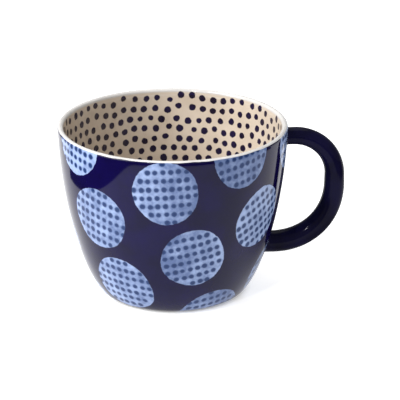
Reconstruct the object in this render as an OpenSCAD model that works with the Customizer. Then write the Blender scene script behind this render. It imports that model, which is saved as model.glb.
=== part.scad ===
/* [Bowl of the mug] */
// Width across the rim, glaze included
rim_d = 116; // [96:1:144]
// Height from the table to the top of the rim
mug_h = 88; // [72:1:108]
// Width across the bottom edge of the bowl, just above the foot
base_d = 72; // [60:1:88]
// How far the bowl runs level before it turns up from the bottom edge
base_turn = 4.8; // [3:0.1:10]
// How far inside the rim the guide point lies that pulls the wall out full
belly_in = 1.6; // [0:0.1:8]
// Height of that guide point: low makes a round bowl, high makes a straight cone
belly_z = 34.7; // [26:0.1:46]

/* [Wall and floor] */
// Thickness of the lip
lip_t = 3; // [2.2:0.1:4.5]
// How far inside the outer guide point the inner one lies, which sets the wall
wall_in = 5.5; // [4:0.1:8]
// How much higher the inner guide point lies than the outer one
wall_up = 7.3; // [4:0.1:12]
// Thickness of the floor, both coats of glaze included
floor_t = 5.2; // [4:0.1:9]
// Radius of the flat middle of the inside floor
floor_flat_r = 28; // [20:0.5:32]
// How far the floor's edge runs level before the inside wall turns up
floor_turn = 14; // [8:0.5:16]

/* [Foot] */
// How far the bare foot ring stands in from the bottom edge of the bowl
foot_in = 3; // [1.5:0.1:8]
// Width of the ring from its outside to its inside
foot_w = 4.5; // [3:0.1:8]
// Height of the ring under the bowl
foot_h = 1.4; // [1.2:0.1:4]
// Small slope that breaks the ring's two lower edges
foot_edge = 0.4; // [0.2:0.1:0.8]

/* [Glaze] */
// Thickness of every coat of glaze
glaze_t = 0.4; // [0.25:0.05:0.6]
// Angle around the lip at which the blue coat ends: 0 is outside, 90 is on top
rim_angle = 45; // [15:15:75]
// How far the white coat of the rim comes down inside the mug
rim_inside = 3; // [2.5:0.1:6]
// Height above the table up to which the blue coat stays plain, with no disc in it
plain_edge = 2; // [1.6:0.1:6]

/* [Handle] */
// Thickness of the handle, glaze included
handle_t = 9.8; // [8:0.1:13]
// How far the handle stands out past the rim
handle_out = 29.5; // [24:0.5:38]
// Distance from the top of the rim down to the collar of the upper joint
upper_gap = 2.2; // [2:0.1:8]
// Height of the middle of the lower joint above the table
lower_z = 22.1; // [18:0.1:28]
// Share of the handle's height that the upper bend takes
upper_bend = 0.37; // [0.3:0.01:0.44]
// Share of the handle's height that the lower bend takes
lower_bend = 0.55; // [0.44:0.01:0.56]
// Width of the slip collar around each joint
collar_w = 1.8; // [1.2:0.1:3]

/* [Stamped discs] */
// Width of a stamped disc
disc_d = 32; // [24:0.5:34]
// Most discs that a column may have, the cut ones included
rows = 3; // [1:1:3]
// Distance from a disc down to the next one in its column
row_pitch = 36.5; // [35:0.5:44]

/* [Hidden] */

// The discs run down the mug in leaning columns, stamped by hand. Each column gives the turn
// of its top disc in degrees from the handle, how far that disc's middle lies below the rim,
// and how far, in degrees, each disc under it is turned from the one above.
disc_columns = [
    [-151, -1, [13, 9]], [-99, 17, [15, 18]], [-59, 1, [16, 28]], [-12, 5, [14]],
    [34, 20, [20, -16]], [77, 2, [15, -4]], [122, 19, [16, -1]], [166, 17, [9, 9]]
];

clay_colour = [0.80, 0.70, 0.57];
cobalt_colour = [0.08, 0.06, 0.29];
pale_blue_colour = [0.60, 0.71, 0.92];
cream_colour = [0.86, 0.79, 0.67];
white_colour = [0.94, 0.93, 0.91];

$fn = 180;
wall_steps = 24;      // flats that make the curve of a wall
edge_steps = 3;       // flats that make its plain lower edge
lip_step = 15;        // degrees of the lip's round to a flat
collar_steps = 6;     // flats along the hollow side of a collar
reach_in = 12;        // how far a cutting shape or a handle end runs into the wall
reach_out = 4;        // how far a cutting shape stands out of it
curl_z = 12;          // below this height the wall curls under, and discs are set out straight
collar_lift = 0.3;    // how far the edge of a collar stands off the glaze
collar_end = 10;      // angle, in degrees, at which a collar's side runs into the handle

lip_r = lip_t / 2;
lip_z = mug_h - lip_r;               // height of the middle of the lip's round
lip_mid_r = rim_d / 2 - lip_r;       // distance of that middle from the mug's axis
glaze_z = foot_h - glaze_t;          // underside of the glaze around the foot
floor_z = foot_h + floor_t - glaze_t;
foot_r = base_d / 2 - foot_in;

// Guide points of the outer and the inner wall, as radius and height. Each wall is a cubic
// Bezier curve that starts level and ends at the lip.
outer_guides = [
    [base_d / 2, glaze_z],
    [base_d / 2 + base_turn, glaze_z],
    [rim_d / 2 - belly_in, belly_z],
    [rim_d / 2, lip_z]
];
inner_guides = [
    [floor_flat_r, floor_z],
    [floor_flat_r + floor_turn, floor_z],
    [rim_d / 2 - belly_in - wall_in, belly_z + wall_up],
    [rim_d / 2 - lip_t, lip_z]
];

function curve(g, t) = pow(1 - t, 3) * g[0] + 3 * pow(1 - t, 2) * t * g[1]
    + 3 * (1 - t) * t * t * g[2] + pow(t, 3) * g[3];

function slope(g, t) = 3 * pow(1 - t, 2) * (g[1] - g[0])
    + 6 * (1 - t) * t * (g[2] - g[1]) + 3 * t * t * (g[3] - g[2]);

// Unit normal on the outer side of a wall that climbs and widens.
function out_of(g, t) = let (s = slope(g, t)) [s[1], -s[0]] / norm(s);

// Points of a wall, moved by d along that normal, from one share of its curve to another.
function beside(g, d, from, to, steps) =
    [for (i = [0:steps]) let (t = from + (to - from) * i / steps) curve(g, t) + d * out_of(g, t)];

// Share of a wall at which it reaches the height z, found by halving.
function share_at(g, z, low = 0, high = 1, turns = 30) = let (mid = (low + high) / 2)
    turns == 0 ? mid
    : curve(g, mid)[1] < z ? share_at(g, z, mid, high, turns - 1)
    : share_at(g, z, low, mid, turns - 1);

function sum_of_first(list, count) = count == 0 ? 0
    : list[count - 1] + sum_of_first(list, count - 1);

function reversed(list) = [for (i = [len(list) - 1:-1:0]) list[i]];

// Outlines at a depth under the surface of the glaze. The walls run upwards, and the lip's
// round runs from one angle to another, from the outside over the top to the inside.
outer_edge = share_at(outer_guides, plain_edge);
inner_band = share_at(inner_guides, mug_h - rim_inside);
function lower_edge(depth) = beside(outer_guides, -depth, 0, outer_edge, edge_steps);
function outer_wall(depth) = beside(outer_guides, -depth, outer_edge, 1, wall_steps);
function inner_wall(depth) = beside(inner_guides, depth, 0, inner_band, wall_steps);
function inner_lip(depth) = beside(inner_guides, depth, inner_band, 1, 2);
function lip_round(depth, from, to) = [for (a = [from:lip_step:to])
    [lip_mid_r, lip_z] + (lip_r - depth) * [cos(a), sin(a)]];

// Line of the handle, as distance from the mug's axis and height: a stub out of the wall, a
// quarter bend, a short straight, a wider quarter bend and a stub back into the wall.
collar_r = handle_t / 2 + collar_w;
upper_z = mug_h - upper_gap - collar_r;
side_r = rim_d / 2 + handle_out - handle_t / 2;
upper_bend_r = upper_bend * (upper_z - lower_z);
lower_bend_r = lower_bend * (upper_z - lower_z);

// A quarter bend of the handle out to its side, starting at an angle.
module bend(bend_r, z, from, r) {
    translate([side_r - bend_r, 0, z]) rotate([90, 0, 0]) rotate([0, 0, from])
        rotate_extrude(angle = 90) translate([bend_r, 0]) circle(r);
}

// A stub of the handle from the end of a bend into the wall at the height z.
module stub(bend_r, z, r) {
    end_r = round(curve(outer_guides, share_at(outer_guides, z))[0]) - reach_in;
    translate([end_r, 0, z]) rotate([0, 90, 0]) cylinder(h = side_r - bend_r - end_r, r = r);
}

// The whole line of the handle as a round rod of radius r.
module handle_rod(r) {
    stub(upper_bend_r, upper_z, r);
    bend(upper_bend_r, upper_z - upper_bend_r, 0, r);
    translate([side_r, 0, lower_z + lower_bend_r])
        cylinder(h = upper_z - upper_bend_r - lower_z - lower_bend_r, r = r);
    bend(lower_bend_r, lower_z + lower_bend_r, -90, r);
    stub(lower_bend_r, lower_z, r);
}

// The clay bowl with its hollow filled and run on upwards: what the handle and the collars
// are cut to.
module filled_bowl() {
    rotate_extrude() polygon(concat(
        [[0, foot_h]], lower_edge(glaze_t), outer_wall(glaze_t),
        [[rim_d / 2 - glaze_t, mug_h + reach_out], [0, mug_h + reach_out]]
    ));
}

// Puts a shape on the outer wall at the height z, its own +Z pointing out of the wall.
module on_wall(z) {
    t = share_at(outer_guides, min(max(z, curl_z), lip_z));
    p = curve(outer_guides, t);
    s = slope(outer_guides, t);
    n = out_of(outer_guides, t);
    translate([p[0] + s[0] * (z - p[1]) / s[1], 0, z]) rotate([0, atan2(n[0], n[1]), 0]) children();
}

// A slip collar: a ring with a hollow side, cut to the clay and to the handle.
module collar(z) {
    color(cobalt_colour) difference() {
        on_wall(z) rotate_extrude() polygon(concat(
            [[0, -reach_in], [collar_r, -reach_in]],
            [for (i = [0:collar_steps]) let (a = 270 - (90 - collar_end) * i / collar_steps)
                [collar_r, collar_lift + collar_w] + collar_w * [cos(a), sin(a)]],
            [[0, collar_lift + collar_w * (1 - sin(collar_end))]]
        ));
        filled_bowl();
        handle_rod(handle_t / 2);
    }
}

// What the two collars take out of the coat on the wall.
module collar_seats() {
    for (z = [lower_z, upper_z])
        on_wall(z) translate([0, 0, -reach_in]) cylinder(h = reach_in + reach_out, r = collar_r);
}

// Cutting shapes of the stamped discs, square to the wall.
module disc_cutters() {
    for (c = disc_columns, row = [0:min(rows - 1, len(c[2]))]) {
        z = mug_h - c[1] - row * row_pitch;
        rotate([0, 0, c[0] + sum_of_first(c[2], row)]) on_wall(z)
            translate([0, 0, -reach_in]) cylinder(h = reach_in + reach_out, r = disc_d / 2);
    }
}

// The coat over the outer wall, from the plain lower edge to the white rim.
module wall_coat() {
    rotate_extrude() polygon(concat(
        outer_wall(0), lip_round(0, lip_step, rim_angle),
        reversed(lip_round(glaze_t, lip_step, rim_angle)), reversed(outer_wall(glaze_t))
    ));
}

// The coat under the edge of the bowl, from the foot ring to the wall.
module edge_coat() {
    rotate_extrude() polygon(concat(
        [[foot_r, foot_h], [foot_r, glaze_z]], lower_edge(0), reversed(lower_edge(glaze_t))
    ));
}

module clay_body() {
    color(clay_colour) rotate_extrude() polygon(concat(
        [[0, foot_h]], lower_edge(glaze_t), outer_wall(glaze_t),
        lip_round(glaze_t, lip_step, 180 - lip_step),
        reversed(inner_lip(glaze_t)), reversed(inner_wall(glaze_t)), [[0, floor_z - glaze_t]]
    ));
}

module foot_ring() {
    inside = foot_r - foot_w;
    color(clay_colour) rotate_extrude() polygon([
        [inside, foot_edge], [inside + foot_edge, 0], [foot_r - foot_edge, 0],
        [foot_r, foot_edge], [foot_r, foot_h], [inside, foot_h]
    ]);
}

module clay_handle() {
    color(clay_colour) difference() {
        handle_rod(handle_t / 2 - glaze_t);
        filled_bowl();
    }
}

module upper_joint() {
    collar(upper_z);
}

module lower_joint() {
    collar(lower_z);
}

module outer_glaze() {
    color(cobalt_colour) {
        edge_coat();
        difference() {
            wall_coat();
            disc_cutters();
            collar_seats();
        }
    }
}

module stamped_discs() {
    color(pale_blue_colour) difference() {
        intersection() {
            wall_coat();
            disc_cutters();
        }
        collar_seats();
    }
}

module inner_glaze() {
    color(cream_colour) rotate_extrude() polygon(concat(
        [[0, floor_z]], inner_wall(0), reversed(inner_wall(glaze_t)), [[0, floor_z - glaze_t]]
    ));
}

module rim_glaze() {
    last = 180 - lip_step;
    color(white_colour) rotate_extrude() polygon(concat(
        lip_round(0, rim_angle, last), reversed(inner_lip(0)),
        inner_lip(glaze_t), reversed(lip_round(glaze_t, rim_angle, last))
    ));
}

module handle_glaze() {
    color(cobalt_colour) difference() {
        handle_rod(handle_t / 2);
        handle_rod(handle_t / 2 - glaze_t);
        filled_bowl();
    }
}

module base_glaze() {
    color(white_colour) translate([0, 0, glaze_z]) cylinder(h = glaze_t, r = foot_r - foot_w);
}

clay_body();
foot_ring();
clay_handle();
upper_joint();
lower_joint();
outer_glaze();
stamped_discs();
inner_glaze();
rim_glaze();
handle_glaze();
base_glaze();
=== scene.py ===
import math

import bmesh
import bpy
import numpy as np
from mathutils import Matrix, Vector


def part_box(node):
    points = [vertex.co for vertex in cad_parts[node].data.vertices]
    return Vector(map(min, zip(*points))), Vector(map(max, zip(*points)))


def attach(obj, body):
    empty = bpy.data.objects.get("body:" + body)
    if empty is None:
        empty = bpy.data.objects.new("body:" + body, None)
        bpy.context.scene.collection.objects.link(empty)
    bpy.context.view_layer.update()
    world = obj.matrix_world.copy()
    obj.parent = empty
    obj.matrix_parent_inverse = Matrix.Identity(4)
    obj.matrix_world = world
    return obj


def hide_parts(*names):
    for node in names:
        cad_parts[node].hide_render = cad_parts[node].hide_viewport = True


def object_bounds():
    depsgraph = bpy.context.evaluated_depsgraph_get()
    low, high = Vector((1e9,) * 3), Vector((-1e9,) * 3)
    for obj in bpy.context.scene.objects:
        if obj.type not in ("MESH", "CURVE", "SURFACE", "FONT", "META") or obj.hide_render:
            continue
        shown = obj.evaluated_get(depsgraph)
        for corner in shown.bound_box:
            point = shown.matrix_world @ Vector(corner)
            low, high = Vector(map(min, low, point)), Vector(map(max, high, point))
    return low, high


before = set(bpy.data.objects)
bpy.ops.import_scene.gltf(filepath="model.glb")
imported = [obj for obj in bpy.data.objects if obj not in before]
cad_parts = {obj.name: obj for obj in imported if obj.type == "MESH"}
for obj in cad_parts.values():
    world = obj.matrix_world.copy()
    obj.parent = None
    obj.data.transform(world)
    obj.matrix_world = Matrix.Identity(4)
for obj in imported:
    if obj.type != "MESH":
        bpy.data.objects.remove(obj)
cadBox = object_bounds()
print("frame loaded with", len(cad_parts), "CAD nodes")

glazeCoat = 0.0004                             # thickness of every coat of glaze
bowl = {
    "rimRadius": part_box("outer_glaze")[1].x,
    "height": cadBox[1].z,
    "bottom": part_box("outer_glaze")[0].z,      # underside of the blue glaze around the foot
    "baseRadius": 0.036,                       # bottom edge of the wall
    "baseTurn": 0.0048,                        # how far the wall runs level before it turns up
    "bellyIn": 0.0016,                         # guide point that pulls the wall out full
    "bellyHeight": 0.0347,
    "lip": 0.003,                              # thickness of the lip
    "wallIn": 0.0055,                          # the inner guide point, from the outer one
    "wallUp": 0.0073,
    "floorHeight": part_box("inner_glaze")[0].z + glazeCoat,
    "floorFlat": 0.028,
    "floorTurn": 0.014,
    "glaze": glazeCoat,
    "rimAngle": 45,                            # where the blue ends on the lip: 0 outside, 90 on top
    "rimInside": 0.003,                        # how far the white rim comes down inside
}
lipRadius = bowl["lip"] / 2
lipMiddle = np.array([bowl["rimRadius"] - lipRadius, bowl["height"] - lipRadius])
outerGuides = np.array([
    [bowl["baseRadius"], bowl["bottom"]],
    [bowl["baseRadius"] + bowl["baseTurn"], bowl["bottom"]],
    [bowl["rimRadius"] - bowl["bellyIn"], bowl["bellyHeight"]],
    [bowl["rimRadius"], lipMiddle[1]],
])
innerGuides = np.array([
    [bowl["floorFlat"], bowl["floorHeight"]],
    [bowl["floorFlat"] + bowl["floorTurn"], bowl["floorHeight"]],
    [bowl["rimRadius"] - bowl["bellyIn"] - bowl["wallIn"], bowl["bellyHeight"] + bowl["wallUp"]],
    [bowl["rimRadius"] - bowl["lip"], lipMiddle[1]],
])


# Shapes: a wall is a profile of (radius, height) rows, and everything is worked out on whole arrays

def curveAt(guides, share):
    # cubic Bezier: (1-t)^3 a + 3 (1-t)^2 t b + 3 (1-t) t^2 c + t^3 d, t being the share of the way
    t = np.asarray(share)[:, None]
    a, b, c, d = guides
    return (1 - t) ** 3 * a + 3 * (1 - t) ** 2 * t * b + 3 * (1 - t) * t ** 2 * c + t ** 3 * d


def outwardAt(guides, share):
    # the curve's derivative, turned a quarter clockwise and made one long
    t = np.asarray(share)[:, None]
    a, b, c, d = guides
    slope = 3 * (1 - t) ** 2 * (b - a) + 6 * (1 - t) * t * (c - b) + 3 * t ** 2 * (d - c)
    across = np.stack([slope[:, 1], -slope[:, 0]], 1)
    return across / np.linalg.norm(across, axis=1, keepdims=True)


def lengthAlong(points):
    # running sum of the distances from point to point
    return np.concatenate([[0], np.cumsum(np.linalg.norm(np.diff(points, axis=0), axis=1))])


def evenShares(guides, low, high, count, fineCount=600):
    # shares of the curve that stand at equal lengths along it, read back from a fine run of points
    fine = np.linspace(low, high, fineCount)
    length = lengthAlong(curveAt(guides, fine))
    return np.interp(np.linspace(0, length[-1], count), length, fine)


def shareAt(guides, height, fineCount=2000):
    # share at which the curve reaches a height, read back from a fine run of points
    fine = np.linspace(0, 1, fineCount)
    return float(np.interp(height, curveAt(guides, fine)[:, 1], fine))


def lipArc(depth, start, end, count):
    # arc around the middle of the lip, from one angle to another, at a depth under its surface
    angle = np.radians(np.linspace(start, end, count))
    return lipMiddle + (lipRadius - depth) * np.stack([np.cos(angle), np.sin(angle)], 1)


def revolved(profile, columns):
    # each profile row (r, z) goes to (r cos a, r sin a, z) at every angle a around the mug
    angle = np.arange(columns) * 2 * math.pi / columns
    r, z = profile[:, 0], profile[:, 1]
    return np.stack([
        np.outer(np.cos(angle), r), np.outer(np.sin(angle), r), np.tile(z, (columns, 1))
    ], -1)


def gridMesh(name, points, closedAlong):
    # quads between the neighbours of a grid of points that closes around, and along if asked; the
    # sum of a.(b x c) over the two triangles of every face is positive when they point outwards
    around, along = points.shape[:2]
    index = np.arange(around * along).reshape(around, along)
    nextRow = np.roll(index, -1, 0)
    a, b = index, nextRow
    if closedAlong:
        c, d = np.roll(nextRow, -1, 1), np.roll(index, -1, 1)
    else:
        a, b, c, d = index[:, :-1], nextRow[:, :-1], nextRow[:, 1:], index[:, 1:]
    faces = np.stack([a, b, c, d], -1).reshape(-1, 4)
    flat = points.reshape(-1, 3)
    p, q, r, s = (flat[faces[:, k]] for k in range(4))
    volume = (p * np.cross(q, r)).sum() + (p * np.cross(r, s)).sum()
    if volume < 0:
        faces = faces[:, ::-1]
    mesh = bpy.data.meshes.new(name)
    mesh.vertices.add(len(flat))
    mesh.vertices.foreach_set("co", flat.astype(np.float32).ravel())
    mesh.loops.add(faces.size)
    mesh.loops.foreach_set("vertex_index", faces.astype(np.int32).ravel())
    mesh.polygons.add(len(faces))
    mesh.polygons.foreach_set("loop_start", np.arange(0, faces.size, 4, dtype=np.int32))
    mesh.update(calc_edges=True)
    return mesh


def closePoles(mesh):
    # rows of points that fall together on the axis become one point
    work = bmesh.new()
    work.from_mesh(mesh)
    bmesh.ops.remove_doubles(work, verts=work.verts, dist=1e-7)
    work.to_mesh(mesh)
    work.free()


def meshPoints(mesh):
    co = np.empty(len(mesh.vertices) * 3, np.float32)
    mesh.vertices.foreach_get("co", co)
    return co.reshape(-1, 3).astype(float)


def storeValue(mesh, name, values):
    attribute = mesh.attributes.new(name, "FLOAT", "POINT")
    attribute.data.foreach_set("value", np.asarray(values, np.float32).ravel())


def finishPiece(name, mesh, material, replaced, sharp=40):
    # shades the mesh smooth but for edges that bend by more than an angle, and puts it in the frame
    mesh.polygons.foreach_set("use_smooth", np.ones(len(mesh.polygons), bool))
    mesh.set_sharp_from_angle(angle=math.radians(sharp))
    piece = bpy.data.objects.new(name, mesh)
    bpy.context.scene.collection.objects.link(piece)
    mesh.materials.append(material)
    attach(piece, "root")
    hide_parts(*replaced)
    print("piece", name, "with", len(mesh.polygons), "faces")


# Materials: a few helpers, two shared groups, then one function for each finish

def addNode(tree, kind, inputs=None, **settings):
    node = tree.nodes.new(kind)
    for key, value in settings.items():
        setattr(node, key, value)
    for key, value in (inputs or {}).items():
        if isinstance(value, bpy.types.NodeSocket):
            tree.links.new(value, node.inputs[key])
        else:
            node.inputs[key].default_value = value
    return node


def calculate(tree, operation, *values):
    return addNode(tree, "ShaderNodeMath", dict(enumerate(values)), operation=operation).outputs[0]


def mixColour(tree, share, first, second):
    return addNode(tree, "ShaderNodeMix", {0: share, 6: first, 7: second}, data_type="RGBA").outputs[2]


def ramp(tree, value, low, high, start=0.0, end=1.0):
    node = addNode(tree, "ShaderNodeMapRange", {
        "Value": value, "From Min": low, "From Max": high, "To Min": start, "To Max": end
    }, interpolation_type="SMOOTHSTEP")
    return node.outputs["Result"]


def noise(tree, place, scale, detail=2.0, rough=0.5):
    return addNode(tree, "ShaderNodeTexNoise", {
        "Vector": place, "Scale": scale, "Detail": detail, "Roughness": rough
    }).outputs["Fac"]


def swing(tree, place, scale, detail=2.0):
    # noise less its middle value, so that it swings about zero
    return calculate(tree, "SUBTRACT", noise(tree, place, scale, detail), 0.5)


def objectPlace(tree):
    return addNode(tree, "ShaderNodeTexCoord").outputs["Object"]


def heightOf(tree, place):
    return addNode(tree, "ShaderNodeSeparateXYZ", {0: place}).outputs["Z"]


def distanceOf(tree, place):
    return addNode(tree, "ShaderNodeVectorMath", {0: place}, operation="LENGTH").outputs["Value"]


def storedValue(tree, name):
    return addNode(tree, "ShaderNodeAttribute", attribute_name=name).outputs["Fac"]


def newGroup(name, inputs, outputs):
    group = bpy.data.node_groups.new(name, "ShaderNodeTree")
    for label, value in inputs.items():
        socket = group.interface.new_socket(label, in_out="INPUT", socket_type="NodeSocketFloat")
        socket.default_value = value
    for label in outputs:
        group.interface.new_socket(label, in_out="OUTPUT", socket_type="NodeSocketFloat")
    entry = group.nodes.new("NodeGroupInput")
    leave = group.nodes.new("NodeGroupOutput")
    return group, entry.outputs, leave.inputs


def useGroup(tree, group, inputs):
    return addNode(tree, "ShaderNodeGroup", inputs, node_tree=group).outputs


def makeGlossGroup():
    # A dipped glaze: slow swells and a fine orange peel in its height, uneven gloss, and a shade
    # that drifts where the coat is thicker
    group, given, out = newGroup("dippedGlaze", {
        "Swell": 0.00003, "Peel": 0.0000015, "Roughness Low": 0.04, "Roughness High": 0.10
    }, ["Shade", "Roughness", "Height"])
    place = objectPlace(group)
    swell = calculate(group, "MULTIPLY", noise(group, place, 45.0, 1.0), given["Swell"])
    peel = calculate(group, "MULTIPLY", noise(group, place, 900.0, 1.0), given["Peel"])
    group.links.new(calculate(group, "ADD", swell, peel), out["Height"])
    spread = calculate(group, "SUBTRACT", given["Roughness High"], given["Roughness Low"])
    uneven = calculate(group, "MULTIPLY_ADD", noise(group, place, 120.0, 3.0), spread,
                       given["Roughness Low"])
    group.links.new(uneven, out["Roughness"])
    group.links.new(ramp(group, noise(group, place, 70.0, 3.0), 0.3, 0.7), out["Shade"])
    return group


def makeMarkGroup():
    # A mark stamped or painted by hand: its edge is where the stored distance, shaken a little by
    # noise, falls through zero, and its depth grows from the edge towards the middle
    group, given, out = newGroup("paintedMark", {
        "Distance": 0.0, "Wobble": 0.0002, "Wobble Scale": 900.0, "Soft": 0.0001, "Deep": 0.001
    }, ["Mask", "Depth"])
    place = objectPlace(group)
    shake = swing(group, place, given["Wobble Scale"])
    edge = calculate(group, "MULTIPLY_ADD", shake, given["Wobble"], given["Distance"])
    inside = calculate(group, "MULTIPLY", edge, -1.0)
    back = calculate(group, "MULTIPLY", given["Soft"], -1.0)
    group.links.new(ramp(group, inside, back, given["Soft"]), out["Mask"])
    group.links.new(ramp(group, inside, 0.0, given["Deep"]), out["Depth"])
    return group


glossGroup = makeGlossGroup()
markGroup = makeMarkGroup()


def newMaterial(name, fixed):
    material = bpy.data.materials.new(name)
    material.use_nodes = True
    shader = material.node_tree.nodes["Principled BSDF"]
    for label, value in fixed.items():
        shader.inputs[label].default_value = value
    return material, material.node_tree, shader


def connect(tree, shader, colour, roughness, height, depth=1.0):
    # the surface's height is in metres, or in shares of a depth
    bump = addNode(tree, "ShaderNodeBump", {"Height": height, "Distance": depth, "Strength": 1.0})
    tree.links.new(colour, shader.inputs["Base Color"])
    tree.links.new(roughness, shader.inputs["Roughness"])
    tree.links.new(bump.outputs["Normal"], shader.inputs["Normal"])


stampedLook = {
    "navy": (0.0030, 0.0014, 0.036, 1), "thickNavy": (0.0020, 0.0010, 0.022, 1),
    "pale": (0.285, 0.365, 0.575, 1), "washed": (0.085, 0.125, 0.255, 1),
    "dot": (0.014, 0.030, 0.095, 1), "thinDot": (0.022, 0.045, 0.130, 1),
    "white": (0.68, 0.67, 0.67, 1),
    "rimLine": bowl["height"] - 0.00055,       # height at which the blue runs out on the lip
    "rimWave": 0.0006,                         # how far that line wanders up and down
    "rimSoft": 0.00008,                        # half the width over which it fades
    "patches": ((150.0, 1.3), (650.0, 0.7)),   # scale and strength of the uneven paint, twice
    "bleed": (0.0009, -0.0003),                # a dot's blue fades out here and in here, from its edge
    "bleedShare": 0.70,                        # and the most of it in the paint
    "sunk": 0.00004,                           # how far the painted surface lies under the navy
}


def stampedMaterial():
    look = stampedLook
    material, tree, shader = newMaterial("stampedGlaze", {"IOR": 1.28})
    place = objectPlace(tree)
    gloss = useGroup(tree, glossGroup, {"Swell": 0.00003, "Peel": 0.000001,
                                        "Roughness Low": 0.035, "Roughness High": 0.085})
    disc = useGroup(tree, markGroup, {"Distance": storedValue(tree, "discEdge"),
                                      "Wobble": 0.0009, "Wobble Scale": 420.0,
                                      "Soft": 0.00018, "Deep": 0.0012})
    dot = useGroup(tree, markGroup, {"Distance": storedValue(tree, "dotEdge"),
                                     "Wobble": 0.0006, "Wobble Scale": 520.0,
                                     "Soft": 0.00030, "Deep": 0.0011})
    navy = mixColour(tree, gloss["Shade"], look["thickNavy"], look["navy"])
    # the stored tone of each disc, paler on one side of some of them, broken up by two sizes of patches
    tone = storedValue(tree, "discTone")
    for scale, strength in look["patches"]:
        tone = calculate(tree, "MULTIPLY_ADD", swing(tree, place, scale, 3.0), strength, tone)
    paint = mixColour(tree, ramp(tree, tone, 0.0, 1.0), look["washed"], look["pale"])
    bleed = ramp(tree, storedValue(tree, "dotEdge"), *look["bleed"], 0.0, look["bleedShare"])
    paint = mixColour(tree, bleed, paint, look["washed"])
    inDot = mixColour(tree, dot["Depth"], look["thinDot"], look["dot"])
    dotted = mixColour(tree, dot["Mask"], paint, inDot)
    wall = mixColour(tree, disc["Mask"], navy, dotted)
    # the glaze runs out in a slightly wavy line at the white lip
    wavy = calculate(tree, "MULTIPLY_ADD", swing(tree, place, 110.0), look["rimWave"],
                     heightOf(tree, place))
    atRim = ramp(tree, wavy, look["rimLine"] - look["rimSoft"], look["rimLine"] + look["rimSoft"])
    colour = mixColour(tree, atRim, wall, look["white"])
    relief = calculate(tree, "MULTIPLY_ADD", disc["Mask"], -look["sunk"], gloss["Height"])
    connect(tree, shader, colour, gloss["Roughness"], relief)
    return material


creamLook = {
    "cream": (0.61, 0.52, 0.425, 1), "deep": (0.55, 0.46, 0.365, 1), "white": (0.66, 0.62, 0.56, 1),
    "dot": (0.008, 0.005, 0.018, 1), "thinDot": (0.012, 0.008, 0.040, 1),
    "fade": (0.0010, 0.001),                   # how far below and above its upper edge it turns white
    "wave": 0.002,                             # how far that edge wanders
    "raised": 0.00001,                         # thickness of the dots' paint
    "marks": {"Wobble": 0.0010, "Wobble Scale": 420.0, "Soft": 0.00018, "Deep": 0.0014},
}


def creamMaterial():
    look = creamLook
    material, tree, shader = newMaterial("creamGlaze", {"IOR": 1.45})
    place = objectPlace(tree)
    gloss = useGroup(tree, glossGroup, {"Swell": 0.00002, "Peel": 0.000001,
                                        "Roughness Low": 0.06, "Roughness High": 0.14})
    dot = useGroup(tree, markGroup, {"Distance": storedValue(tree, "dotEdge"), **look["marks"]})
    cream = mixColour(tree, gloss["Shade"], look["deep"], look["cream"])
    wavy = calculate(tree, "MULTIPLY_ADD", swing(tree, place, 90.0), look["wave"], heightOf(tree, place))
    top = bowl["height"] - bowl["rimInside"]
    nearRim = ramp(tree, wavy, top - look["fade"][0], top + look["fade"][1])
    ground = mixColour(tree, nearRim, cream, look["white"])
    inDot = mixColour(tree, gloss["Shade"], look["dot"], look["thinDot"])
    colour = mixColour(tree, dot["Mask"], ground, inDot)
    relief = calculate(tree, "MULTIPLY_ADD", dot["Mask"], look["raised"], gloss["Height"])
    connect(tree, shader, colour, gloss["Roughness"], relief)
    return material


whiteLook = {
    "white": (0.66, 0.645, 0.625, 1), "shade": (0.59, 0.57, 0.55, 1), "speck": (0.30, 0.22, 0.15, 1),
    "speckFrom": (0.74, 0.80),                 # noise above this is a speck
    "inside": bowl["height"] - 0.0016,         # height at which the cream comes in on the inner side
    "soft": 0.0005,                            # half the width over which it fades
}


def whiteMaterial():
    look = whiteLook
    material, tree, shader = newMaterial("whiteGlaze", {"IOR": 1.45})
    gloss = useGroup(tree, glossGroup, {"Swell": 0.00001, "Peel": 0.000001,
                                        "Roughness Low": 0.07, "Roughness High": 0.16})
    colour = mixColour(tree, gloss["Shade"], look["shade"], look["white"])
    place = objectPlace(tree)
    specks = ramp(tree, noise(tree, place, 1300.0), *look["speckFrom"])
    colour = mixColour(tree, specks, colour, look["speck"])
    # the rim's inner side carries the cream and the upper parts of the first row of dots
    low, high = look["inside"] - look["soft"], look["inside"] + look["soft"]
    inner = calculate(tree, "MULTIPLY", storedValue(tree, "innerSide"),
                      ramp(tree, heightOf(tree, place), high, low))
    colour = mixColour(tree, inner, colour, creamLook["cream"])
    dot = useGroup(tree, markGroup, {"Distance": storedValue(tree, "dotEdge"), **creamLook["marks"]})
    painted = calculate(tree, "MULTIPLY", dot["Mask"], storedValue(tree, "innerSide"))
    colour = mixColour(tree, painted, colour, creamLook["thinDot"])
    connect(tree, shader, colour, gloss["Roughness"], gloss["Height"])
    return material


handleLook = {"navy": (0.0050, 0.0042, 0.024, 1), "thick": (0.0030, 0.0026, 0.010, 1)}


def handleMaterial():
    look = handleLook
    material, tree, shader = newMaterial("handleGlaze", {"IOR": 1.14})
    gloss = useGroup(tree, glossGroup, {"Swell": 0.00003, "Peel": 0.000001,
                                        "Roughness Low": 0.05, "Roughness High": 0.11})
    colour = mixColour(tree, gloss["Shade"], look["thick"], look["navy"])
    connect(tree, shader, colour, gloss["Roughness"], gloss["Height"])
    return material


clayLook = {
    "light": (0.56, 0.44, 0.31, 1), "dark": (0.40, 0.29, 0.19, 1), "speck": (0.16, 0.10, 0.06, 1),
    "speckFrom": (0.68, 0.74),                 # noise above this is a speck
    "roughness": (0.75, 0.95),
    "grain": 0.00006,                          # depth of the grain
}


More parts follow.
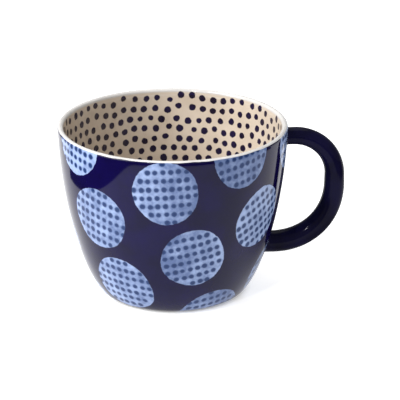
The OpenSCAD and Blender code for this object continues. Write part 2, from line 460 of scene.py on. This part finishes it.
def clayMaterial():
    look = clayLook
    material, tree, shader = newMaterial("bareClay", {"IOR": 1.45})
    place = objectPlace(tree)
    patch = ramp(tree, noise(tree, place, 160.0, 4.0), 0.3, 0.7)
    grain = noise(tree, place, 1800.0, 3.0, 0.7)
    specks = ramp(tree, noise(tree, place, 1100.0), *look["speckFrom"])
    colour = mixColour(tree, patch, look["dark"], look["light"])
    colour = mixColour(tree, specks, colour, look["speck"])
    connect(tree, shader, colour, ramp(tree, grain, 0.3, 0.7, *look["roughness"]), grain, look["grain"])
    return material


stampedGlaze = stampedMaterial()
creamGlaze = creamMaterial()
whiteGlaze = whiteMaterial()
handleGlaze = handleMaterial()
bareClay = clayMaterial()
print("materials ready")


# Outer wall with its stamped discs

stamps = {
    "columns": 480,                            # points around the mug
    "rows": 138,                               # points up the wall
    "lipRows": 7,                              # points round the lip
    "backRows": 24,                            # the same two on the coat's hidden back
    "backLipRows": 4,
    "width": 0.0328,                           # width of a disc
    "waves": ((2, 0.016), (3, 0.012), (5, 0.006)),    # how its outline swells, in waves round it
    "pitch": 0.0365,                           # from a disc down to the next one in its column
    # each column: turn of its top disc from the handle, its drop below the rim, and the turn of
    # each disc under it from the one above
    "discColumns": [
        (-151, -0.0010, (13, 9)), (-99, 0.0168, (15, 18)), (-59, 0.0012, (16, 28)),
        (-12, 0.0050, (14,)), (34, 0.0200, (20, -16)), (77, 0.0020, (15, -4)),
        (122, 0.0190, (16, -1)), (166, 0.0170, (9, 9)),
    ],
    # how pale a disc is, how much paler it is on its left, and how far its dots lean
    "discLooks": [
        (0.72, 0.0, -6), (0.48, 0.10, -10), (0.55, 0.12, -4), (0.42, 0.26, 4), (0.46, -0.25, 12),
        (0.30, 0.0, 10), (0.28, 0.0, 8), (0.74, 0.0, 22), (0.42, 0.0, 12),
    ],
    "drawnLooks": ((0.35, 0.9), (-0.2, 0.2), (-18, 18)),    # the same for the others, from and to
    "curl": 0.012,                             # a disc lower than this is set out from this height
    "curlStretch": 1.1,                        # by this length of wall for each unit of height
    "dotPitch": (0.00378, 0.0045),
    "dotsEachWay": 5,                          # from the middle of a disc
    "dotRadius": 0.00132,
    "dotSizes": (0.9, 1.1),                    # smallest and largest dot, as shares of that
    "jitter": 0.00011,
    "edgeGap": 0.000392,                       # a dot's middle lies at least this far inside the disc
    "margin": 0.003,                           # how far around a disc distances to its dots are kept
    "nowhere": (0.02, 0.005, 0.5),             # stored distances and tone away from any disc
    "seed": 7,
}


def discList():
    # the discs of all columns as (turn, height, tone, how much paler on the left, lean), the later
    # ones with looks drawn at random
    chance = np.random.default_rng(stamps["seed"])
    looks = stamps["discLooks"]
    found = []
    for turn, drop, steps in stamps["discColumns"]:
        for row, step in enumerate((0,) + steps):
            turn = turn + step
            height = bowl["height"] - drop - row * stamps["pitch"]
            drawn = tuple(chance.uniform(low, high) for low, high in stamps["drawnLooks"])
            found.append((turn, height) + (looks[len(found)] if len(found) < len(looks) else drawn))
    return found


def stampDiscs(angle, radius, height, length):
    # distance to the nearest disc's edge and to the nearest dot's edge, both below zero inside, and
    # the tone of the paint, for points at an angle round the wall and a length up it; around a
    # disc's middle, u = radius x angle and v = length, and its outline is the radius
    # R (1 + a cos 2w + b cos 3w + c cos 5w), shifted by a phase in each wave, at the angle w
    chance = np.random.default_rng(stamps["seed"] + 1)
    size = (len(angle), len(radius))
    discRadius = stamps["width"] / 2
    acrossStep, upStep = stamps["dotPitch"]
    steps = np.arange(-stamps["dotsEachWay"], stamps["dotsEachWay"] + 1)
    discEdge, dotEdge, tone = (np.full(size, value) for value in stamps["nowhere"])
    for turn, middle, pale, toLeft, tilt in discList():
        level = min(max(middle, stamps["curl"]), lipMiddle[1])
        v = length - np.interp(level, height, length) - (middle - level) * stamps["curlStretch"]
        away = (angle[:, None] - math.radians(turn) + math.pi) % (2 * math.pi) - math.pi
        u = radius[None, :] * away
        v = np.broadcast_to(v[None, :], u.shape)
        far = np.hypot(u, v)
        around = np.arctan2(v, u)
        phases = chance.uniform(0, 2 * math.pi, len(stamps["waves"]))
        swell = sum(part * np.cos(waves * around + phase)
                    for (waves, part), phase in zip(stamps["waves"], phases))
        discEdge = np.minimum(discEdge, far - discRadius * (1 + swell))
        near = far < discRadius + stamps["margin"]
        tone[near] = (pale - toLeft * u / discRadius)[near]
        # its dots stand on a leaning grid, each one moved and sized by chance
        lean = math.radians(tilt)
        gridX, gridY = np.meshgrid(steps * acrossStep, steps * upStep)
        offset = chance.uniform(-0.5, 0.5, 2) * (acrossStep, upStep)
        gridX = gridX + offset[0] + chance.normal(0, stamps["jitter"], gridX.shape)
        gridY = gridY + offset[1] + chance.normal(0, stamps["jitter"], gridY.shape)
        sizes = stamps["dotRadius"] * chance.uniform(*stamps["dotSizes"], gridX.shape)
        x = gridX * math.cos(lean) - gridY * math.sin(lean)
        y = gridX * math.sin(lean) + gridY * math.cos(lean)
        kept = np.hypot(x, y) < discRadius - stamps["edgeGap"]
        nearest = np.full(near.sum(), stamps["nowhere"][1])
        for dotX, dotY, dotR in zip(x[kept], y[kept], sizes[kept]):
            nearest = np.minimum(nearest, np.hypot(u[near] - dotX, v[near] - dotY) - dotR)
        dotEdge[near] = nearest
    return discEdge, dotEdge, tone


def outerWallRows():
    # the blue coat's face: the flat by the foot, the wall and the lip's round up to the white
    foot = np.array([[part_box("foot_ring")[1].x, bowl["bottom"]]])
    wall = curveAt(outerGuides, evenShares(outerGuides, 0, 1, stamps["rows"]))
    return np.concatenate([foot, wall, lipArc(0, 0, bowl["rimAngle"], stamps["lipRows"])[1:]])


def makeOuterGlaze():
    # the coat's face and its back, P - glaze x outward for each point P of the wall, carried around
    face = outerWallRows()
    shares = evenShares(outerGuides, 0, 1, stamps["backRows"])
    back = curveAt(outerGuides, shares) - bowl["glaze"] * outwardAt(outerGuides, shares)
    backFoot = np.array([[face[0, 0], bowl["bottom"] + bowl["glaze"]]])
    backLip = lipArc(bowl["glaze"], 0, bowl["rimAngle"], stamps["backLipRows"])[1:]
    profile = np.concatenate([face, backLip[::-1], back[::-1], backFoot])
    mesh = gridMesh("outerGlaze", revolved(profile, stamps["columns"]), True)
    angle = np.arange(stamps["columns"]) * 2 * math.pi / stamps["columns"]
    values = stampDiscs(angle, face[:, 0], face[:, 1], lengthAlong(face))
    for name, found, hidden in zip(("discEdge", "dotEdge", "discTone"), values, stamps["nowhere"]):
        whole = np.full((stamps["columns"], len(profile)), hidden)
        whole[:, :len(face)] = found
        storeValue(mesh, name, whole)
    finishPiece("outerGlaze", mesh, stampedGlaze, ["outer_glaze", "stamped_discs"])


# Inside of the bowl

inside = {
    "columns": 420, "wallRows": 130, "floorRows": 34, "backRows": 20,
    "dotSpacing": 0.0060,                      # along a row, and from row to row
    "rowSpacing": 0.0054,
    "dotRadius": 0.00172,
    "radiusSpread": 0.00012,
    "jitter": 0.0011, "farthest": 0.002,       # how far a dot is nudged, usually and at most
    "apart": 0.0056,                           # dots closer than this push each other away
    "pushes": 12, "pushShare": 0.3,            # how often, and by what share of what they lack
    "firstRow": 0.0043,                        # depth of the first row below the rim
    "above": 0.0012,                           # how far a dot may be pushed up over the first row
    "leastRadius": 0.002,                      # turns near the axis are worked out as if at this radius
    "seed": 21,
}


def paintedDots(fineCount=1500):
    # rings of dots down the wall and in over the floor: each ring has as many as its length holds,
    # starts at a random turn, and every dot is nudged a little both ways; then neighbours that
    # came too close move apart by a share of what they lack, a few times over
    chance = np.random.default_rng(inside["seed"])
    least = inside["leastRadius"]
    wall = curveAt(innerGuides, np.linspace(1, 0, fineCount))
    floor = np.array([[0.0, bowl["floorHeight"]]])
    line = np.concatenate([wall, floor])
    length = lengthAlong(line)
    start = np.interp(-(bowl["height"] - inside["firstRow"]), -wall[:, 1], length[:-1])
    last = length[-1] - inside["rowSpacing"] / 2
    rings = np.arange(start, last, inside["rowSpacing"])
    dots = []
    for ring in rings:
        radius = np.interp(ring, length, line[:, 0])
        count = max(1, round(2 * math.pi * radius / inside["dotSpacing"]))
        turn = (np.arange(count) + chance.uniform()) * 2 * math.pi / count
        shift = chance.normal(0, inside["jitter"], (2, count))
        shift = shift.clip(-inside["farthest"], inside["farthest"])
        size = inside["dotRadius"] + chance.normal(0, inside["radiusSpread"], count)
        dots.append(np.stack([ring + shift[0], turn + shift[1] / max(radius, least), size], 1))
    down, turn, size = np.concatenate(dots).T
    for _ in range(inside["pushes"]):
        radius = np.maximum(np.interp(down, length, line[:, 0]), least)
        away = (turn[:, None] - turn + math.pi) % (2 * math.pi) - math.pi
        u, v = away * (radius[:, None] + radius) / 2, down[:, None] - down
        far = np.hypot(u, v) + np.eye(len(down))
        push = np.maximum(inside["apart"] - far, 0) / far * inside["pushShare"]
        turn = turn + (u * push).sum(1) / radius
        down = np.clip(down + (v * push).sum(1), start - inside["above"], length[-1])
    r = np.interp(down, length, line[:, 0])
    z = np.interp(down, length, line[:, 1])
    return np.stack([r * np.cos(turn), r * np.sin(turn), z, size], 1)


def nearestDot(points, dots, block=4000):
    # smallest of (distance to a dot's middle - its radius) for every point, a block at a time
    found = [
        (np.linalg.norm(points[k:k + block, None] - dots[None, :, :3], axis=2) - dots[:, 3]).min(1)
        for k in range(0, len(points), block)
    ]
    return np.concatenate(found)


innerDots = paintedDots()


def makeInnerGlaze():
    # from the floor's middle out and up the wall to the white rim, and back down behind it at
    # P + glaze x outward, carried around
    high = shareAt(innerGuides, bowl["height"] - bowl["rimInside"])
    shares = evenShares(innerGuides, 0, high, inside["wallRows"])
    wall = curveAt(innerGuides, shares)
    flat = np.linspace(0, bowl["floorFlat"], inside["floorRows"], endpoint=False)
    floor = np.stack([flat, np.full_like(flat, bowl["floorHeight"])], 1)
    few = np.linspace(0, high, inside["backRows"])
    under = curveAt(innerGuides, few) + bowl["glaze"] * outwardAt(innerGuides, few)
    middle = np.array([[0, bowl["floorHeight"] - bowl["glaze"]]])
    profile = np.concatenate([floor, wall, under[::-1], middle])
    mesh = gridMesh("innerGlaze", revolved(profile, inside["columns"]), False)
    closePoles(mesh)
    storeValue(mesh, "dotEdge", nearestDot(meshPoints(mesh), innerDots))
    finishPiece("innerGlaze", mesh, creamGlaze, ["inner_glaze"])


# White rim

rim = {
    "columns": 480,
    "crest": 26, "back": 12,                   # points over the lip's round, and on its hidden back
    "inside": 12,                              # points down the wall, on both
    "lastAngle": 180,                          # the lip's round ends here, on its inner side
    "innerFrom": 0.4,                          # share of the lip's radius, from its middle inwards
}


def makeRimGlaze():
    # over the lip's round from the blue to its inner side and a little down the wall, and back at
    # the coat's thickness under that, carried around
    last = rim["lastAngle"]
    low = shareAt(innerGuides, bowl["height"] - bowl["rimInside"])
    shares = np.linspace(1, low, rim["inside"])
    inner = curveAt(innerGuides, shares)
    under = inner + bowl["glaze"] * outwardAt(innerGuides, shares)
    face = np.concatenate([lipArc(0, bowl["rimAngle"], last, rim["crest"]), inner[1:]])
    back = np.concatenate([lipArc(bowl["glaze"], bowl["rimAngle"], last, rim["back"]), under[1:]])
    mesh = gridMesh("rimGlaze", revolved(np.concatenate([face, back[::-1]]), rim["columns"]), True)
    points = meshPoints(mesh)
    innerRadius = lipMiddle[0] - lipRadius * rim["innerFrom"]
    storeValue(mesh, "innerSide", np.hypot(points[:, 0], points[:, 1]) < innerRadius)
    storeValue(mesh, "dotEdge", nearestDot(points, innerDots))
    finishPiece("rimGlaze", mesh, whiteGlaze, ["rim_glaze"])


# Handle and its two joints

handle = {
    "side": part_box("handle_glaze")[1].x + 0.0005,    # outermost point, just past the node's
    "upper": 0.0791,                           # heights of the two ends
    "lower": 0.0221,
    "upperBend": 0.0211,                       # radii of the two bends
    "lowerBend": 0.03135,
    "fullness": (2.0, 2.12),                   # 2 is a round bend, more stands out at the corner
    "radii": (0.0044, 0.0046, 0.0050, 0.00525, 0.00555, 0.00570, 0.0054),    # from the upper end down
    "intoWall": 0.0022,                        # how deep both ends go into the wall
    "bendSteps": 60,                           # points of a bend
    "steps": 200, "around": 64,                # rings along the handle, and points round it
}


def wallRadius(height):
    # radius of the outer wall at a height, read from its profile
    rows = outerWallRows()[1:]
    return np.interp(height, rows[:, 1], rows[:, 0])


def handleRadius(share):
    # the cubic a s^3 + b s^2 + c s + d that runs closest to the given, equally spaced radii
    values = np.array(handle["radii"])
    return np.polyval(np.polyfit(np.linspace(0, 1, len(values)), values, 3), share)


def handleLine(count):
    # centre line of (x, z): level out of the wall, a quarter bend down, straight, a wider quarter
    # bend in, and level into the wall, at equal lengths; a bend's points are R times the powers
    # 2 / n of a quarter's cosines and sines
    side = handle["side"] - handleRadius(0.5)
    quarter = np.radians(np.linspace(90, 0, handle["bendSteps"]))
    first, second = (np.stack([np.cos(quarter).clip(0), np.sin(quarter)], 1) ** (2 / power)
                     for power in handle["fullness"])
    up, low = handle["upperBend"], handle["lowerBend"]
    startX = wallRadius(handle["upper"]) - handle["intoWall"]
    endX = wallRadius(handle["lower"]) - handle["intoWall"]
    upper = np.array([side - up, handle["upper"] - up]) + up * first
    lower = np.array([side - low, handle["lower"] + low]) + low * second[::-1] * [1, -1]
    line = np.concatenate([[[startX, handle["upper"]]], upper, lower, [[endX, handle["lower"]]]])
    length = lengthAlong(line)
    place = np.linspace(0, length[-1], count)
    return np.stack([np.interp(place, length, line[:, 0]), np.interp(place, length, line[:, 1])], 1)


def makeHandle():
    # a circle of the wanted radius carried along the centre line, square to it: each ring point is
    # centre + r (cos w x normal + sin w x sideways), and both ends are closed by a point
    line = handleLine(handle["steps"])
    share = np.linspace(0, 1, handle["steps"])
    run = np.gradient(line, axis=0)
    run = run / np.linalg.norm(run, axis=1, keepdims=True)
    normal = np.stack([-run[:, 1], run[:, 0]], 1)
    radius = handleRadius(share)
    line = np.concatenate([line[:1], line, line[-1:]])
    normal = np.concatenate([normal[:1], normal, normal[-1:]])
    radius = np.concatenate([[0], radius, [0]])
    turn = np.arange(handle["around"])[:, None] * 2 * math.pi / handle["around"]
    x = line[:, 0] + radius * np.cos(turn) * normal[:, 0]
    y = radius * np.sin(turn)
    z = line[:, 1] + radius * np.cos(turn) * normal[:, 1]
    mesh = gridMesh("handle", np.stack([x, y, z], -1), False)
    closePoles(mesh)
    finishPiece("handle", mesh, handleGlaze, ["clay_handle", "handle_glaze"])


joint = {
    "flare": (0.0017, 0.0024),                 # width of the slip around the upper and lower end
    "around": 96, "along": 12,                 # points round the handle, and from it to the wall
    "sunk": 0.0004,                            # how deep its hidden back lies in handle and wall
    "sharp": 60,                               # edges that bend by more than this stay sharp
}


def makeJoint(name, height, radius, flare, node):
    # a hollow fillet: for each turn w around the handle, a curve from the handle to the wall,
    # (1-s)^2 A + 2 (1-s) s B + s^2 C, with B where handle and wall meet, A out along the handle
    # and C out along the wall, closed behind both surfaces
    turn = np.arange(joint["around"])[:, None] * 2 * math.pi / joint["around"]
    sunk = joint["sunk"]

    def onWall(distance, depth):
        y, z = distance * np.cos(turn), height + distance * np.sin(turn)
        x = np.sqrt(wallRadius(z) ** 2 - y ** 2) - depth
        return np.concatenate([x, y, z], 1)[:, None]

    meet = onWall(radius, 0)
    onHandle = meet + [flare, 0, 0]
    s = np.linspace(0, 1, joint["along"])[None, :, None]
    curve = (1 - s) ** 2 * onHandle + 2 * (1 - s) * s * meet + s ** 2 * onWall(radius + flare, 0)
    inHandle = onHandle.copy()
    inHandle[..., 1] = (radius - sunk) * np.cos(turn)
    inHandle[..., 2] = height + (radius - sunk) * np.sin(turn)
    inWall = [onWall(radius + flare, sunk), onWall(radius - sunk, sunk)]
    mesh = gridMesh(name, np.concatenate([curve, *inWall, inHandle], 1), True)
    finishPiece(name, mesh, handleGlaze, [node], joint["sharp"])


# Underside

foot = {
    "outer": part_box("foot_ring")[1].x,
    "height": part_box("foot_ring")[1].z,
    "width": 0.0045,
    "round": 0.0005, "roundSteps": 7,          # radius of its rounded lower edges, and their points
    "columns": 240,
    "baseRows": 40,                            # points from the axis to the ring
    "fillet": 0.6, "filletPower": 14,          # how much thicker the base's coat is at the ring
}


def makeFootRing():
    # a ring rubbed smooth after firing: its lower edges are quarter circles, (a + r cos w, r - r sin w)
    # around a centre at radius a
    r, outer, inner = foot["round"], foot["outer"], foot["outer"] - foot["width"]
    turn = np.radians(np.linspace(0, 90, foot["roundSteps"]))
    right = np.stack([outer - r + r * np.cos(turn), r - r * np.sin(turn)], 1)
    left = np.stack([inner + r - r * np.sin(turn), r - r * np.cos(turn)], 1)
    top = np.array([[inner, foot["height"]], [outer, foot["height"]]])
    profile = np.concatenate([right, left, top])
    mesh = gridMesh("footRing", revolved(profile, foot["columns"]), True)
    finishPiece("footRing", mesh, bareClay, ["foot_ring"])


def makeBaseGlaze():
    # a coat inside the foot ring that thickens into a small fillet where it meets the ring:
    # z = top - glaze (1 + k (r / R)^p)
    reach = foot["outer"] - foot["width"]
    r = np.linspace(0, reach, foot["baseRows"])
    top = foot["height"]
    thickness = bowl["glaze"] * (1 + foot["fillet"] * (r / reach) ** foot["filletPower"])
    face = np.stack([r, top - thickness], 1)
    back = np.array([[reach, top], [0, top]])
    mesh = gridMesh("baseGlaze", revolved(np.concatenate([face, back]), foot["columns"]), False)
    closePoles(mesh)
    finishPiece("baseGlaze", mesh, whiteGlaze, ["base_glaze"])


makeOuterGlaze()
makeRimGlaze()
makeInnerGlaze()
makeHandle()
upperRadius, lowerRadius = handle["radii"][0], handle["radii"][-1]
makeJoint("upperJoint", handle["upper"], upperRadius, joint["flare"][0], "upper_joint")
makeJoint("lowerJoint", handle["lower"], lowerRadius, joint["flare"][1], "lower_joint")
makeFootRing()
makeBaseGlaze()
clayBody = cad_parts["clay_body"]
clayBody.data.materials.clear()
clayBody.data.materials.append(bareClay)
print("pieces ready")


# Studio: pale floor, soft light and the camera

camera = {
    "turn": -96, "rise": 20.84,                # degrees round from the handle, and above the table
    "distance": 1.16, "lens": 205.4,
    "aim": Vector((0.01365, -0.00144, 0.04665)),
}
studio = {
    "world": 0.50,
    "floorHalf": 6.0,                          # from the middle of the floor to its side
    "floorColour": (0.72, 0.72, 0.72, 1),
    "floorGlow": 0.72,                         # the table is lit from below as well
    "contactShadowRadii": (0.030, 0.041),                # but not near and under the mug, which paints a contact shadow around its base
    # each light: name, place, size, power and the point that it looks at
    "lights": [
        ("keyLight", (-1.25, -0.60, 0.95), 1.20, 33.0, (0, 0, 0.03)),
        ("topLight", (0.1, 0.5, 1.5), 1.3, 6.0, (0, 0, 0.05)),
        ("smallLamp", (-0.45, -0.98, 0.76), 0.045, 3.0, (0.075, 0, 0.03)),
    ],
    # in reflections the pale floor ends this far off, in front and on the left, and its corner is
    # sharper with a higher number
    "paleRadius": 0.250, "paleLeft": 0.160, "paleCorner": 18,
    # the dark flag beyond it: from one angle to the other, how far out, and its height
    "flagTurns": (155, 375), "flagReach": 3.0, "flagHeight": 0.0006, "flagSteps": 160,
    # dark cloth of the flag, and also the colour of the painted shadows under the handle and behind the
    # right side
    "flagAndShadowColour": (0.03, 0.03, 0.04, 1),
    # a small dark card on the floor under the handle, a painted shadow of the mug seen only in
    # reflections, thinning out from its middle to its edge
    "cardMiddle": (0.092, 0.022, 0.0009), "cardRadius": 0.075, "cardOpacity": 0.9, "cardSteps": 64,
    "cardHole": 0.01,                          # its hole, as a share of the radius
    # a dark wedge on the floor behind the right side, a painted shadow of the mug seen only in
    # reflections: its corner, two angles, and from where to where
    "wedgeCorner": (0.052, -0.018, 0.0012), "wedgeTurns": (62, 105), "wedgeReach": (0.05, 0.40),
    "wedgeSteps": 24,
    "mottle": (6.0, 0.985),                    # scale and darker share of the plain surfaces
}


def studioPlace(point):
    # studio places are set out to the right of the camera's view, away from it and up
    turn = math.radians(camera["turn"] + 90)
    x, y, z = point
    return Vector((x * math.cos(turn) - y * math.sin(turn), x * math.sin(turn) + y * math.cos(turn), z))


def plainMaterial(name, colour, glow=0.0):
    material, tree, shader = newMaterial(name, {
        "Roughness": 0.9, "Specular IOR Level": 0.2, "Emission Color": (1, 1, 1, 1),
        "Emission Strength": glow
    })
    scale, share = studio["mottle"]
    darker = tuple(part * share for part in colour[:3]) + (1,)
    mottled = mixColour(tree, noise(tree, objectPlace(tree), scale), colour, darker)
    tree.links.new(mottled, shader.inputs["Base Color"])
    return material


def addLight(name, point, size, power, aim):
    data = bpy.data.lights.new(name, "AREA")
    data.shape = "DISK"
    data.size = size
    data.energy = power
    light = bpy.data.objects.new(name, data)
    light.location = studioPlace(point)
    light.rotation_euler = (light.location - Vector(aim)).to_track_quat("Z", "Y").to_euler()
    bpy.context.scene.collection.objects.link(light)


def makeFloor():
    side = studio["floorHalf"]
    mesh = bpy.data.meshes.new("floor")
    corners = [(-side, -side, 0), (side, -side, 0), (side, side, 0), (-side, side, 0)]
    mesh.from_pydata(corners, [], [(0, 1, 2, 3)])
    material = plainMaterial("paleFloor", studio["floorColour"], studio["floorGlow"])
    tree = material.node_tree
    # the glow fades out near the base, a painted contact shadow on the floor
    glow = ramp(tree, distanceOf(tree, objectPlace(tree)), *studio["contactShadowRadii"])
    lit = mixColour(tree, glow, (0, 0, 0, 1), (1, 1, 1, 1))
    tree.links.new(lit, tree.nodes["Principled BSDF"].inputs["Emission Color"])
    mesh.materials.append(material)
    floor = bpy.data.objects.new("floor", mesh)
    bpy.context.scene.collection.objects.link(floor)


def makeCard(name, rings, material, closed):
    # a flat card between an inner and an outer ring of points, seen only in reflections
    points = np.concatenate(rings)
    count = len(rings[0])
    faces = [(k, (k + 1) % count, count + (k + 1) % count, count + k)
             for k in range(count if closed else count - 1)]
    mesh = bpy.data.meshes.new(name)
    mesh.from_pydata(points.tolist(), [], faces)
    mesh.materials.append(material)
    card = bpy.data.objects.new(name, mesh)
    card.visible_camera = card.visible_diffuse = card.visible_shadow = False
    card.visible_transmission = card.visible_volume_scatter = False
    card.rotation_euler = (0, 0, math.radians(camera["turn"] + 90))
    bpy.context.scene.collection.objects.link(card)
    return card


def flatRing(turns):
    # (cos w, sin w, 0) at every angle w
    return np.stack([np.cos(turns), np.sin(turns), np.zeros_like(turns)], 1)


def makeFlag():
    # lies beyond the pale part of the floor: its inner edge is the smooth smaller one of R and
    # L / |cos w|, which is (R^-p + (L / |cos w|)^-p)^(-1/p)
    turns = np.radians(np.linspace(*studio["flagTurns"], studio["flagSteps"]))
    power = studio["paleCorner"]
    side = np.clip(-np.cos(turns), 1e-3, 1) / studio["paleLeft"]
    edge = (studio["paleRadius"] ** -power + side ** power) ** (-1 / power)
    rings = [flatRing(turns) * edge[:, None], flatRing(turns) * studio["flagReach"]]
    flag = makeCard("darkFlag", rings, plainMaterial("flagCloth", studio["flagAndShadowColour"]), False)
    flag.location = (0, 0, studio["flagHeight"])


def makeShadowCard():
    # the painted shadow under the handle fades by the distance from its own middle
    material = plainMaterial("shadowCardMaterial", studio["flagAndShadowColour"])
    tree = material.node_tree
    away = distanceOf(tree, objectPlace(tree))
    fade = ramp(tree, away, studio["cardRadius"], 0.0, 0.0, studio["cardOpacity"])
    tree.links.new(fade, tree.nodes["Principled BSDF"].inputs["Alpha"])
    turns = np.arange(studio["cardSteps"]) * 2 * math.pi / studio["cardSteps"]
    edge = flatRing(turns) * studio["cardRadius"]
    card = makeCard("paintedShadowCard", [edge * studio["cardHole"], edge], material, True)
    card.location = studioPlace(studio["cardMiddle"])


def makeShadowWedge():
    # a painted shadow seen only in reflections: the part of a flat ring between two angles
    turns = np.radians(np.linspace(*studio["wedgeTurns"], studio["wedgeSteps"]))
    rings = [flatRing(turns) * reach for reach in studio["wedgeReach"]]
    wedge = makeCard("paintedShadowWedge", rings, plainMaterial("shadowWedgeMaterial", studio["flagAndShadowColour"]), False)
    wedge.location = studioPlace(studio["wedgeCorner"])


def makeWorld():
    world = bpy.data.worlds.new("softSky")
    world.use_nodes = True
    background = world.node_tree.nodes["Background"]
    background.inputs["Color"].default_value = (1, 1, 1, 1)
    background.inputs["Strength"].default_value = studio["world"]
    bpy.context.scene.world = world


def makeCamera():
    turn, rise = math.radians(camera["turn"]), math.radians(camera["rise"])
    back = Vector((math.cos(rise) * math.cos(turn), math.cos(rise) * math.sin(turn), math.sin(rise)))
    data = bpy.data.cameras.new("camera")
    data.lens = camera["lens"]
    data.sensor_width = 36
    data.clip_start, data.clip_end = 0.05, 20
    view = bpy.data.objects.new("camera", data)
    view.location = camera["aim"] + back * camera["distance"]
    view.rotation_euler = back.to_track_quat("Z", "Y").to_euler()
    bpy.context.scene.collection.objects.link(view)
    bpy.context.scene.camera = view


makeFloor()
makeFlag()
makeShadowCard()
makeShadowWedge()
makeWorld()
for light in studio["lights"]:
    addLight(*light)
makeCamera()
bpy.context.scene.view_settings.view_transform = "Standard"
print("studio ready")
